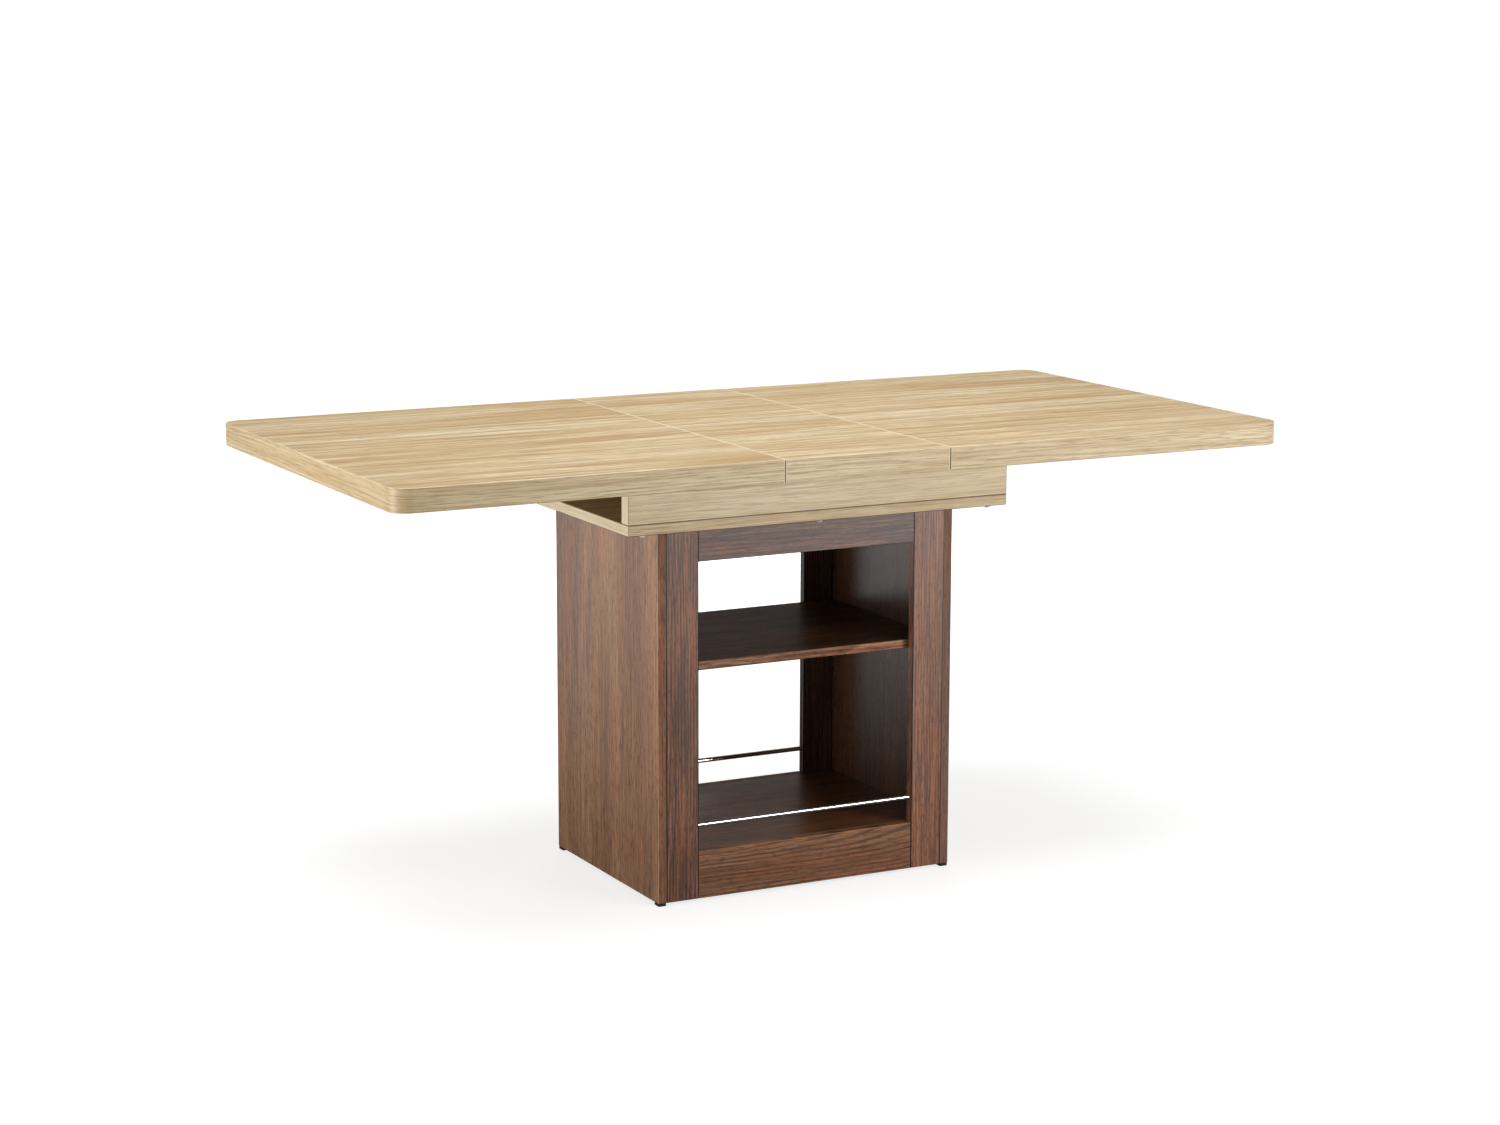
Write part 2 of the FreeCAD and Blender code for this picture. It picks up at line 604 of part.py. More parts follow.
def guide_rails():
    """Channel rails inside the case, with a stop in each end. Gives the holes of their screws."""
    rail_spots = []
    stop_spots = []
    for end in BOTH:
        for step in (-3, -1, 1, 3):
            along = f"{step} * (rail_end_x - rail_screw_end) / 3"
            level = "rail_bottom + rail_height / 2"
            rail_spots.append(((along, f"{end} * rail_back_y", level), outward(end)))
        for side in BOTH:
            spot = (f"{side} * stop_x", f"{end} * rail_mouth_y", "rail_bottom + rail_height / 2")
            stop_spots.append((spot, outward(end)))
    rail_screws, rail_screw_holes = screw_set("rail_screws", sunk_screw, rail_spots, "rail_screw")
    stop_screws, stop_screw_holes = screw_set("stop_screws", sunk_screw, stop_spots, "stop_screw")
    node("guide_rail_screws", rail_screws)
    node("stop_screws", stop_screws)
    corners = [
        ("0", "0"),
        ("rail_depth", "0"),
        ("rail_depth", "rail_wall"),
        ("rail_wall", "rail_wall"),
        ("rail_wall", "rail_height - rail_wall"),
        ("rail_depth", "rail_height - rail_wall"),
        ("rail_depth", "rail_height"),
        ("0", "rail_height"),
    ]
    rough = [(0, 0), (9, 0), (9, 3), (3, 3), (3, 9), (9, 9), (9, 12), (0, 12)]
    stops = []
    for end_name, end in FRONT_REAR.items():
        label = f"{end_name}_guide_rail"
        spot = (f"{end} * rail_end_x", f"{end} * case_inner_y", "rail_bottom")
        turn = Rotation() if end < 0 else HALF_TURN
        blank = extrusion(f"{label}_blank", corners, rough, "2 * rail_end_x", spot, turn)
        drilled(label, blank, rail_screw_holes, stop_screw_holes)
        for side_word, side in LEFT_RIGHT.items():
            size = ("stop_length", "rail_depth - rail_wall", "rail_height - 2 * rail_wall")
            spot = (f"{side} * stop_x", f"{end} * (rail_mouth_y + rail_back_y) / 2", "rail_bottom + rail_wall")
            stops.append(board(side_name(end_name, side_word, "stop"), size, spot))
    drilled("slide_stops", group("slide_stop_blanks", stops), stop_screw_holes)
    return rail_screw_holes, stop_screw_holes


def runner_screw_spots(side):
    spots = []
    for end in BOTH:
        for step in (-3, -1, 1, 3):
            along = f"{side} * runner_x + {step} * (runner_length / 2 - runner_screw_end) / 3"
            spots.append(((along, f"{end} * runner_screw_y", "top_underside - runner_thickness"), "+z"))
    return spots


def slider_screw_spots(side):
    spots = []
    for end in BOTH:
        for step in BOTH:
            along = f"{side} * slider_x + {step} * (slider_length / 2 - slider_screw_end)"
            level = "slider_bottom + slider_height / 2"
            spots.append(((along, f"{end} * runner_inner_y", level), outward(end)))
    return spots


def runners_and_sliders(side_word, side):
    """Steel angles under an end leaf, each with a nylon slider that runs in a channel rail."""
    name = f"{side_word}_runner_screws"
    screws, runner_screw_holes = screw_set(name, pan_screw, runner_screw_spots(side), "runner_screw")
    node(name, screws)
    name = f"{side_word}_slider_screws"
    screws, slider_screw_holes = screw_set(name, pan_screw, slider_screw_spots(side), "slider_screw")
    node(name, screws)
    corners = [
        ("0", "0"),
        ("runner_thickness", "0"),
        ("runner_thickness", "runner_height - runner_thickness"),
        ("runner_flange", "runner_height - runner_thickness"),
        ("runner_flange", "runner_height"),
        ("0", "runner_height"),
    ]
    rough = [(0, 0), (3, 0), (3, 9), (9, 9), (9, 12), (0, 12)]
    for end_name, end in FRONT_REAR.items():
        label = side_name(side_word, end_name, "runner")
        spot = (f"{side} * runner_x + {end} * runner_length / 2", f"{end} * runner_outer_y", "slider_bottom")
        turn = Rotation() if end < 0 else HALF_TURN
        blank = extrusion(f"{label}_blank", corners, rough, "runner_length", spot, turn)
        drilled(label, blank, runner_screw_holes, slider_screw_holes)
        label = side_name(side_word, end_name, "slider")
        size = ("slider_length", "slider_depth", "slider_height")
        spot = (f"{side} * slider_x", f"{end} * (runner_outer_y + slider_depth / 2)", "slider_bottom")
        drilled(label, board(f"{label}_blank", size, spot), slider_screw_holes)
    return runner_screw_holes


# Leaves

def outline_edges(feature, seam_x):
    """Edges of a leaf's two faces, and its upright edges at the seam, as names of the feature."""
    names = []
    for index, edge in enumerate(feature.Shape.Edges, start=1):
        box = edge.BoundBox
        upright = box.ZLength > feature.Shape.BoundBox.ZLength / 2
        if not upright or abs(box.XMin - seam_x) < box.ZLength / 2:
            names.append(f"Edge{index}")
    return names


def upright_edges(feature, end_x):
    names = []
    for index, edge in enumerate(feature.Shape.Edges, start=1):
        box = edge.BoundBox
        if box.XLength + box.YLength < box.ZLength and abs(box.XMin - end_x) < box.ZLength / 2:
            names.append(f"Edge{index}")
    return names


def end_leaf(side_word, side):
    """An end leaf, with its two outer corners rounded and its edges bevelled."""
    body = doc.addObject("PartDesign::Body", f"{side_word}_leaf_blank")
    sketch = new_sketch(body, "XY_Plane")
    draw_rectangle(sketch, "end_leaf_length", "top_width")
    slab = pad(body, sketch, "top_thickness")
    box = slab.Shape.BoundBox
    outer_x, seam_x = (box.XMin, box.XMax) if side < 0 else (box.XMax, box.XMin)
    corners = body.newObject("PartDesign::Fillet", f"{body.Name}_corners")
    corners.Base = (slab, upright_edges(slab, outer_x))
    bind(corners, Radius="corner_radius")
    doc.recompute()
    arris = body.newObject("PartDesign::Chamfer", f"{body.Name}_arris")
    arris.Base = (corners, outline_edges(corners, seam_x))
    bind(arris, Size="top_arris")
    place(body, (f"{side} * end_leaf_x", "0", "top_underside"))
    return body


def end_leaves():
    for side_word, side in LEFT_RIGHT.items():
        runner_screw_holes = runners_and_sliders(side_word, side)
        drilled(f"{side_word}_leaf", end_leaf(side_word, side), runner_screw_holes)


def centre_leaf():
    """The centre leaf sits on felt pads on the case boards, with its battens between the rails."""
    screw_spots = []
    felt_spots = []
    for end in BOTH:
        for step in THREE:
            along = f"{step} * (batten_length / 2 - batten_screw_end)"
            screw_spots.append(((along, f"{end} * batten_y", "batten_underside"), "+z"))
        for side in BOTH:
            felt_spots.append((f"{side} * felt_spread / 2", f"{end} * case_board_y", "case_board_top"))
    screws, screw_holes = screw_set("batten_screws", sunk_screw, screw_spots, "batten_screw")
    node("batten_screws", screws)
    felts = []
    for index, spot in enumerate(felt_spots):
        felts.append(cylinder(f"felt_{index}", spot, "+z", "felt_radius", "leaf_running_gap"))
    node("felt_pads", group("felt_pad_set", felts))
    for end_name, end in FRONT_REAR.items():
        label = f"{end_name}_batten"
        size = ("batten_length", "batten_width", "batten_height")
        blank = board(f"{label}_blank", size, ("0", f"{end} * batten_y", "batten_underside"))
        drilled(label, blank, screw_holes)
    size = ("insert_length - 2 * seam_gap", "top_width", "top_thickness")
    blank = board("centre_leaf_blank", size, ("0", "0", "top_underside"), "top_arris")
    drilled("centre_leaf", blank, screw_holes)


# Whole table

def check_model():
    """Stop if an object failed, a piece is broken or a hole missed its board."""
    for obj in doc.Objects:
        if "Invalid" in obj.State or "Error" in obj.State:
            raise RuntimeError(f"{obj.Label} did not compute: {obj.State}")
        if obj.TypeId == "Part::Cut" and obj.Shape.Volume >= obj.Base.Shape.Volume:
            raise RuntimeError(f"no hole was cut in {obj.Label}")
    for label, obj in nodes.items():
        if obj.Shape.isNull() or not obj.Shape.isValid() or not obj.Shape.Solids:
            raise RuntimeError(f"{label} has no valid solid")


def write_parts():
    os.makedirs("parts", exist_ok=True)
    for label, obj in nodes.items():
        obj.Shape.exportStep(f"parts/{label}.step")


def build():
    make_sheet()
    bolt_holes, insert_holes = pedestal_bolts()
    pedestal(bolt_holes, insert_holes)
    rail_screw_holes, stop_screw_holes = guide_rails()
    leaf_case(bolt_holes, rail_screw_holes, stop_screw_holes)
    end_leaves()
    centre_leaf()
    doc.recompute()
    check_model()
    write_parts()
    print(f"{len(nodes)} pieces written")


build()
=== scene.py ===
import json
import math

import bmesh
import bpy
from mathutils import Matrix, Vector

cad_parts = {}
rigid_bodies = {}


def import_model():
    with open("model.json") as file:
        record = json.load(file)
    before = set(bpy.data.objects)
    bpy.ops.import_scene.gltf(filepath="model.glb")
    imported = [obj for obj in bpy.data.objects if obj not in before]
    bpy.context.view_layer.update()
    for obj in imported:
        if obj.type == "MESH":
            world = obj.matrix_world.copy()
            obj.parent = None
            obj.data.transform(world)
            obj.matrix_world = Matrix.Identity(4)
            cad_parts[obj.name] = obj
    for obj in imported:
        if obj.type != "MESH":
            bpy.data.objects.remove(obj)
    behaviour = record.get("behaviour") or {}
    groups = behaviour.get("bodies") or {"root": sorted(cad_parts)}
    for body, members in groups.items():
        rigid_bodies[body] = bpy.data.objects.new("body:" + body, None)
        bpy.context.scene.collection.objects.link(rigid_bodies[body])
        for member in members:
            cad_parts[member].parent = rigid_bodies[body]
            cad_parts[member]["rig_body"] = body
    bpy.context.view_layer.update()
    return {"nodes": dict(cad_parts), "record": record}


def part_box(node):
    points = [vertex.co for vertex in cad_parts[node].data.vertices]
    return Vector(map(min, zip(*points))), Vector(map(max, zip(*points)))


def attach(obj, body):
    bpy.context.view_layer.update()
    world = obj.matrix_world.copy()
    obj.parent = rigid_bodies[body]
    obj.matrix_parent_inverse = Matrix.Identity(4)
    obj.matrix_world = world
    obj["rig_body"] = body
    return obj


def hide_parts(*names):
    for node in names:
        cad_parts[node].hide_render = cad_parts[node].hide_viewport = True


# Looks of the extending table: oak top and leaf case, walnut pedestal, chrome guard rods.
# Metres, in the frame of the CAD part: +Z is up, +X runs along the table, -Y is the front.

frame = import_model()
nodes = frame["nodes"]


def paint(red, green, blue):
    """An sRGB colour of 0 to 255 as the linear colour that nodes take."""
    parts = [channel / 255 for channel in (red, green, blue)]
    linear = [p / 12.92 if p <= 0.04045 else ((p + 0.055) / 1.055) ** 2.4 for p in parts]
    return (*linear, 1.0)


def grey(level):
    """A linear grey."""
    return (level, level, level, 1.0)


class Shade:
    """The nodes of a material or a world, with a short call for each kind of node."""

    def __init__(self, owner):
        owner.use_nodes = True
        self.owner = owner
        self.tree = owner.node_tree
        self.tree.nodes.clear()

    def feed(self, socket, value):
        if isinstance(value, bpy.types.NodeSocket):
            self.tree.links.new(value, socket)
        else:
            socket.default_value = value

    def node(self, kind, inputs=(), **settings):
        made = self.tree.nodes.new("ShaderNode" + kind)
        for key, value in settings.items():
            setattr(made, key, value)
        for key, value in dict(inputs).items():
            self.feed(made.inputs[key], value)
        return made

    def math(self, operation, first, second=0.0):
        return self.node("Math", {0: first, 1: second}, operation=operation).outputs[0]

    def add(self, first, second):
        return self.math("ADD", first, second)

    def times(self, first, second):
        return self.math("MULTIPLY", first, second)

    def split(self, vector):
        return self.node("SeparateXYZ", {0: vector}).outputs

    def join(self, x, y, z):
        return self.node("CombineXYZ", {0: x, 1: y, 2: z}).outputs[0]

    def step(self, value, low, high, start=0.0, end=1.0):
        """A smooth rise from start to end while the value goes from low to high."""
        inputs = {"Value": value, "From Min": low, "From Max": high, "To Min": start, "To Max": end}
        return self.node("MapRange", inputs, interpolation_type="SMOOTHSTEP").outputs[0]

    def stretch(self, vector, scale, shift=(0.0, 0.0, 0.0)):
        return self.node("Mapping", {"Vector": vector, "Scale": scale, "Location": shift}).outputs[0]

    def noise(self, vector, scale, detail=2.0, roughness=0.5, shift=(0.0, 0.0, 0.0)):
        """Noise from 0 to 1, with a count of features per metre along each axis."""
        inputs = {"Vector": self.stretch(vector, scale, shift), "Scale": 1.0}
        inputs.update({"Detail": detail, "Roughness": roughness})
        return self.node("TexNoise", inputs).outputs[0]

    def mix_value(self, share, first, second):
        return self.node("Mix", {0: share, 2: first, 3: second}, data_type="FLOAT").outputs[0]

    def mix_vector(self, share, first, second):
        return self.node("Mix", {0: share, 4: first, 5: second}, data_type="VECTOR").outputs[1]

    def mix(self, share, first, second, blend="MIX"):
        inputs = {0: share, 6: first, 7: second}
        return self.node("Mix", inputs, data_type="RGBA", blend_type=blend).outputs[2]

    def ramp(self, value, stops):
        made = self.node("ValToRGB", {0: value})
        elements = made.color_ramp.elements
        while len(elements) < len(stops):
            elements.new(0.5)
        for element, (spot, colour) in zip(elements, stops):
            element.position = spot
            element.color = colour
        return made.outputs[0]

    def bump(self, height, distance, strength=1.0):
        inputs = {"Height": height, "Distance": distance, "Strength": strength}
        return self.node("Bump", inputs).outputs[0]

    def place(self):
        """Where a point is on the part at rest, in metres."""
        return self.node("TexCoord").outputs["Object"]

    def facing(self):
        """Which way a face looks along each axis of the part, from -1 to 1."""
        true_normal = self.node("NewGeometry").outputs["True Normal"]
        turned = self.node("VectorTransform", {0: true_normal}, vector_type="NORMAL",
                           convert_from="WORLD", convert_to="OBJECT")
        return self.split(turned.outputs[0])

    def size(self, value):
        return self.math("ABSOLUTE", value)

    def away(self, value, middle):
        """How far a value lies above a middle."""
        return self.math("SUBTRACT", value, middle)

    def shift(self, vector, step):
        return self.node("VectorMath", {0: vector, 1: step}, operation="ADD").outputs[0]

    def open_view(self):
        """1 for rays that see the background: from the camera, or through something clear."""
        path = self.node("LightPath").outputs
        return self.math("MAXIMUM", path["Is Camera Ray"], path["Is Transmission Ray"])

    def mirror_view(self):
        """1 for rays that a glossy surface sends out."""
        return self.node("LightPath").outputs["Is Glossy Ray"]

    def surface(self, **inputs):
        """The finished surface: names of the shader's sockets, with _ for a space."""
        sockets = {key.replace("_", " "): value for key, value in inputs.items()}
        shader = self.node("BsdfPrincipled", sockets)
        self.node("OutputMaterial", {"Surface": shader.outputs[0]})
        return self.owner


def material_shade(name):
    return Shade(bpy.data.materials.new(name))


# Wood

# Painted highlight: the pale band along a seam stands in for light caught by the edge band.
seam_band_highlight = 0.0018  # pale band on a leaf along a seam
seam_line = 0.0008  # dark line at a seam, on the leaves' front and rear edges
oak_joint = 0.001  # dark line where the case's boards meet
walnut_joint = 0.0017  # dark line beside a stile
blur = 1.4  # how much further such a line reaches until it is gone
edge_rough = 0.75  # roughness of walnut edge bands


def board_lines(shade, axes, corner_turn=None):
    """Coordinates that follow a board: along its grain, across it and into it.

    axes: the part's axes in that order. On faces across the grain the coordinates run along the edge,
    as an edge band does. corner_turn: for a leaf, which of its ends the band goes round with the
    corners: -1 the left, 1 the right, 0 none.
    """
    place = dict(zip("xyz", shade.split(shade.place())))
    toward = dict(zip("xyz", shade.facing()))
    along, across, into = axes
    length = shade.join(place[along], place[across], place[into])
    if corner_turn is None:
        band = shade.join(place[across], place[into], place[along])
        ends = shade.step(shade.size(toward[along]), 0.8, 0.9)
    else:
        round_edge = shade.add(place["x"], shade.times(place["y"], corner_turn))
        band = shade.join(round_edge, place["z"], 0.0)
        ends = shade.step(shade.size(toward["z"]), 0.5, 0.2)
    return shade.mix_vector(ends, length, band)


def arris(shade, rounded):
    """Shares that are 1 on the bevels along a board's edges: those that look up, sideways and down.

    A rounded board has upright curves that are no bevels.
    """
    toward_x, toward_y, toward_z = shade.facing()
    rise = shade.size(toward_z)
    if rounded:
        bevel = shade.times(shade.step(rise, 0.3, 0.5), shade.step(rise, 0.95, 0.85))
    else:
        most = shade.math("MAXIMUM", shade.size(toward_y), rise)
        most = shade.math("MAXIMUM", shade.size(toward_x), most)
        bevel = shade.step(most, 0.95, 0.85)
    up = shade.times(bevel, shade.step(toward_z, 0.3, 0.5))
    down = shade.times(bevel, shade.step(toward_z, -0.3, -0.5))
    level = shade.away(shade.away(bevel, up), down)
    return up, level, down


def joint_lines(shade, node, axes, width):
    """1 along the edges where a board ends along the given axes, 0 elsewhere and on the ends themselves.

    axes: 0 for X, 1 for Y, 2 for Z.
    """
    place = shade.split(shade.place())
    toward = shade.facing()
    share = 0.0
    for axis in axes:
        face = shade.step(shade.size(toward[axis]), 0.9, 0.8)
        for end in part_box(node):
            apart = shade.size(shade.away(place[axis], end[axis]))
            near = shade.step(apart, width * blur, width)
            share = shade.math("MAXIMUM", share, shade.times(face, near))
    return share


def oak(node, seed, axes, corner_turn=None, rounded=False, seams=(), fine=1.0, painted_light_wash=0.0):
    """Pale oak for a board.

    axes, corner_turn: as for board_lines. rounded: whether it has upright curves.
    seams: where along X a leaf meets its neighbours. There its edge bands get pale lines of painted
    highlight, with a dark line between them on the front and rear edges.
    fine: how much closer its lines lie than on the leaves. Last, the share of a pale wash over it: painted
    light that lifts the boards the leaves shade.
    """
    shade = material_shade(f"oak_{node}")
    lines = board_lines(shade, axes, corner_turn)
    lines = shade.stretch(lines, (1.0, fine, fine), (seed * 3.1, seed * 1.7, seed * 0.9))
    sway = shade.away(shade.noise(lines, (1.3, 6.0, 6.0), 1.0), 0.5)
    bent = shade.shift(lines, shade.join(0.0, shade.times(sway, 0.03), 0.0))
    bands = shade.noise(bent, (0.8, 14.0, 14.0), 3.0, 0.55)
    streaks = shade.noise(bent, (2.0, 75.0, 75.0), 4.0, 0.6, (4.0, 9.0, 2.0))
    hairs = shade.noise(bent, (3.5, 260.0, 260.0), 3.0, 0.65, (1.0, 6.0, 8.0))
    fibres = shade.noise(bent, (12.0, 640.0, 640.0), 2.0, 0.6)
    pores = shade.noise(bent, (20.0, 420.0, 420.0), 2.0, 0.55, (7.0, 3.0, 5.0))
    flat = shade.step(shade.size(shade.facing()[2]), 0.2, 0.5, 0.4, 1.0)
    colour = shade.ramp(bands, [
        (0.34, paint(204, 179, 132)),
        (0.46, paint(214, 193, 150)),
        (0.54, paint(221, 202, 161)),
        (0.66, paint(231, 215, 179)),
    ])
    dark_streaks = shade.times(flat, shade.step(streaks, 0.5, 0.62, 0.0, 0.9))
    colour = shade.mix(dark_streaks, colour, paint(184, 149, 104))
    light_streaks = shade.times(flat, shade.step(streaks, 0.48, 0.35, 0.0, 0.75))
    colour = shade.mix(light_streaks, colour, paint(236, 222, 189))
    colour = shade.mix(shade.step(hairs, 0.48, 0.62, 0.0, 0.7), colour, paint(180, 148, 106))
    colour = shade.mix(shade.step(hairs, 0.46, 0.34, 0.0, 0.4), colour, paint(236, 220, 190))
    colour = shade.mix(shade.step(fibres, 0.45, 0.7, 0.0, 0.4), colour, paint(184, 150, 106))
    pore_share = shade.step(pores, 0.52, 0.64, 0.0, 0.6)
    colour = shade.mix(pore_share, colour, paint(166, 131, 89))
    # Painted light: a pale wash lifts the case boards where the leaves shade them.
    if painted_light_wash:
        colour = shade.mix(painted_light_wash, colour, paint(240, 222, 188))
    up, _, down = arris(shade, rounded)
    if seams:
        x = shade.split(shade.place())[0]
        front = shade.step(shade.size(shade.facing()[1]), 0.6, 0.7, 0.0, 0.65)
        for seam in seams:
            apart = shade.size(shade.away(x, seam))
            # Painted highlight: a pale band along the seam.
            band = shade.step(apart, seam_band_highlight * 1.3, seam_band_highlight, 0.0, 0.65)
            colour = shade.mix(band, colour, paint(242, 228, 198))
            gap = shade.times(front, shade.step(apart, seam_line * blur, seam_line))
            colour = shade.mix(gap, colour, paint(92, 70, 42))
        # Painted highlight: the upward bevels of a leaf are painted lighter.
        colour = shade.mix(shade.times(up, 0.3), colour, paint(240, 228, 198))
    else:
        # Painted highlight: the upward bevels are painted lighter, and the end faces paler.
        ends = shade.step(shade.size(shade.facing()[0]), 0.9, 1.0, 0.0, 0.5)
        painted_highlight = shade.math("MAXIMUM", shade.times(up, 0.6), ends)
        colour = shade.mix(painted_highlight, colour, paint(238, 224, 194))
        # Painted shade on the downward bevels, with the dark joint lines where the boards meet.
        joint_and_bevel_shade = shade.math("MAXIMUM", down, shade.times(joint_lines(shade, node, (0, 2), oak_joint), 0.5))
        colour = shade.mix(joint_and_bevel_shade, colour, paint(86, 62, 34))
    relief = shade.add(shade.times(fibres, 0.6), shade.times(pore_share, -0.8))
    return shade.surface(
        Base_Color=colour,
        Roughness=shade.add(0.4, shade.times(fibres, 0.16)),
        Specular_IOR_Level=0.5,
        Normal=shade.bump(relief, 0.00012, 0.6),
    )


def walnut(node, seed, axes, tone, heart, squeeze, spread=0.0045, figure=0.8, broad=26.0,
           flush=(6.0, 55.0), vivid=1.0, sheen=0.5, rough=0.3, edging=None, jointed=False):
    """Walnut for a board, with growth rings that lie as long ovals round a heart.

    axes: as for board_lines. tone: how much of its red, green and blue the board keeps.
    heart: its place along the grain and across it. squeeze: width of an oval to its length.
    spread: width of a ring. figure: how dark its rings are.
    broad: light and dark bands per metre across the grain.
    flush: reddish and greyish patches per metre along the grain and across it.
    vivid: how strong patches and hair lines are. sheen: specular level. rough: least roughness.
    edging: share of red, green and blue that its front and rear edges keep. They are duller too.
    jointed: dark lines where it meets boards at the left and right.
    """
    def stain(red, green, blue):
        return (*[channel * share for channel, share in zip(paint(red, green, blue), tone)], 1.0)

    shade = material_shade(f"walnut_{node}")
    lines = board_lines(shade, axes)
    seeded = shade.shift(lines, (seed * 2.3, seed * 1.9, seed * 1.1))
    along, across, _ = shade.split(lines)
    sway = shade.away(shade.noise(seeded, (3.0, 9.0, 9.0), 2.0), 0.5)
    ripple = shade.away(shade.noise(seeded, (40.0, 150.0, 150.0), 2.0), 0.5)
    wander = shade.add(shade.times(sway, 0.03), shade.times(ripple, 0.0025))
    side = shade.add(shade.away(across, heart[1]), wander)
    run = shade.times(shade.away(along, heart[0]), squeeze)
    radius = shade.math("SQRT", shade.add(shade.times(side, side), shade.times(run, run)))
    phase = shade.math("FRACT", shade.math("DIVIDE", radius, spread))
    late = shade.times(shade.step(phase, 0.5, 0.8), shade.step(phase, 1.0, 0.92))
    fade = shade.step(shade.noise(seeded, (5.0, 70.0, 70.0), 2.0, 0.6), 0.35, 0.6, 0.4, 1.0)
    late = shade.times(late, fade)
    bands = shade.noise(seeded, (0.6, broad, broad), 3.0, 0.6)
    blush = shade.noise(seeded, (flush[0], flush[1], flush[1]), 3.0, 0.6, (3.0, 8.0, 1.0))
    hairs = shade.noise(seeded, (7.0, 260.0, 260.0), 3.0, 0.65, (6.0, 1.0, 4.0))
    fibres = shade.noise(seeded, (20.0, 800.0, 800.0), 2.0, 0.6)
    pores = shade.noise(seeded, (60.0, 380.0, 380.0), 2.0, 0.55, (5.0, 2.0, 9.0))
    colour = shade.ramp(bands, [
        (0.34, stain(120, 88, 67)),
        (0.45, stain(140, 104, 79)),
        (0.55, stain(155, 117, 89)),
        (0.66, stain(170, 131, 101)),
    ])
    colour = shade.mix(shade.step(blush, 0.48, 0.62, 0.0, 0.85 * vivid), colour, stain(172, 112, 76))
    colour = shade.mix(shade.step(blush, 0.48, 0.36, 0.0, 0.85 * vivid), colour, stain(110, 88, 82))
    colour = shade.mix(shade.times(late, figure), colour, stain(50, 34, 29))
    colour = shade.mix(shade.step(hairs, 0.51, 0.58, 0.0, 0.75 * vivid), colour, stain(78, 54, 43))
    colour = shade.mix(shade.step(hairs, 0.46, 0.38, 0.0, 0.5 * vivid), colour, stain(200, 156, 122))
    colour = shade.mix(shade.step(fibres, 0.48, 0.7, 0.0, 0.45), colour, stain(84, 58, 45))
    pore_share = shade.step(pores, 0.52, 0.64, 0.0, 0.5)
    colour = shade.mix(pore_share, colour, stain(62, 43, 34))
    roughness = shade.add(rough, shade.times(fibres, 0.14))
    if edging:
        edge = shade.step(shade.size(shade.facing()[1]), 0.8, 0.9)
        colour = shade.mix(edge, colour, (*edging, 1.0), "MULTIPLY")
        roughness = shade.mix_value(edge, roughness, edge_rough)
    up, level, down = arris(shade, False)
    # Painted highlight: bevels that look up or sideways are painted lighter.
    painted_highlight = shade.times(shade.math("MAXIMUM", up, level), 0.6)
    colour = shade.mix(painted_highlight, colour, stain(194, 152, 122))
    # Painted shade: the downward bevels are painted dark.
    colour = shade.mix(shade.times(down, 0.8), colour, paint(30, 20, 16))
    if jointed:
        colour = shade.mix(joint_lines(shade, node, (0,), walnut_joint), colour, paint(16, 10, 8))
    relief = shade.add(shade.times(fibres, 0.5), shade.times(pore_share, -0.8))
    return shade.surface(
        Base_Color=colour,
        Roughness=roughness,
        Specular_IOR_Level=sheen,
        Normal=shade.bump(relief, 0.0001, 0.5),
    )


def beech(name):
    """Plain beech, for dowels."""
    shade = material_shade(name)
    place = shade.place()
    flecks = shade.noise(place, (30.0, 260.0, 260.0), 2.0, 0.6)
    colour = shade.ramp(flecks, [(0.3, paint(206, 170, 128)), (0.7, paint(222, 190, 150))])
    return shade.surface(Base_Color=colour, Roughness=shade.add(0.5, shade.times(flecks, 0.2)),
                         Normal=shade.bump(flecks, 0.0001))


# Metal, plastic and felt

def drawn_metal(name, dark, light, scale, rough):
    """Metal with fine lines along the way it was drawn.

    scale: lines per metre along each axis. rough: least and greatest roughness.
    """
    shade = material_shade(name)
    place = shade.place()
    lines = shade.noise(place, scale, 3.0, 0.6)
    cloud = shade.noise(place, (18.0, 18.0, 18.0), 3.0, 0.5)
    tint = shade.add(shade.times(lines, 0.6), shade.times(cloud, 0.4))
    colour = shade.ramp(tint, [(0.3, dark), (0.7, light)])
    low, high = rough
    return shade.surface(Base_Color=colour, Metallic=1.0,
                         Roughness=shade.step(lines, 0.2, 0.8, low, high),
                         Normal=shade.bump(lines, 0.00003, 0.5))


def moulded(name, dark, light, rough):
    """Plastic with a fine moulded skin, and painted highlight on its upward bevels."""
    shade = material_shade(name)
    place = shade.place()
    skin = shade.noise(place, (900.0, 900.0, 900.0), 2.0, 0.5)
    cloud = shade.noise(place, (35.0, 35.0, 35.0), 3.0, 0.5)
    edge, _, _ = arris(shade, False)
    colour = shade.ramp(cloud, [(0.3, dark), (0.7, light)])
    # Painted highlight: the upward bevels are painted lighter.
    colour = shade.mix(shade.times(edge, 0.4), colour, light)
    return shade.surface(Base_Color=colour,
                         Roughness=shade.step(cloud, 0.3, 0.7, rough, rough + 0.12),
                         Normal=shade.bump(skin, 0.00004, 0.5))


def felt(name):
    """Grey felt with a short nap."""
    shade = material_shade(name)
    place = shade.place()
    fuzz = shade.noise(place, (1500.0, 1500.0, 1500.0), 3.0, 0.7)
    colour = shade.ramp(fuzz, [(0.3, paint(70, 64, 58)), (0.7, paint(104, 96, 88))])
    return shade.surface(Base_Color=colour, Roughness=0.95, Sheen_Weight=0.3,
                         Normal=shade.bump(fuzz, 0.0002))


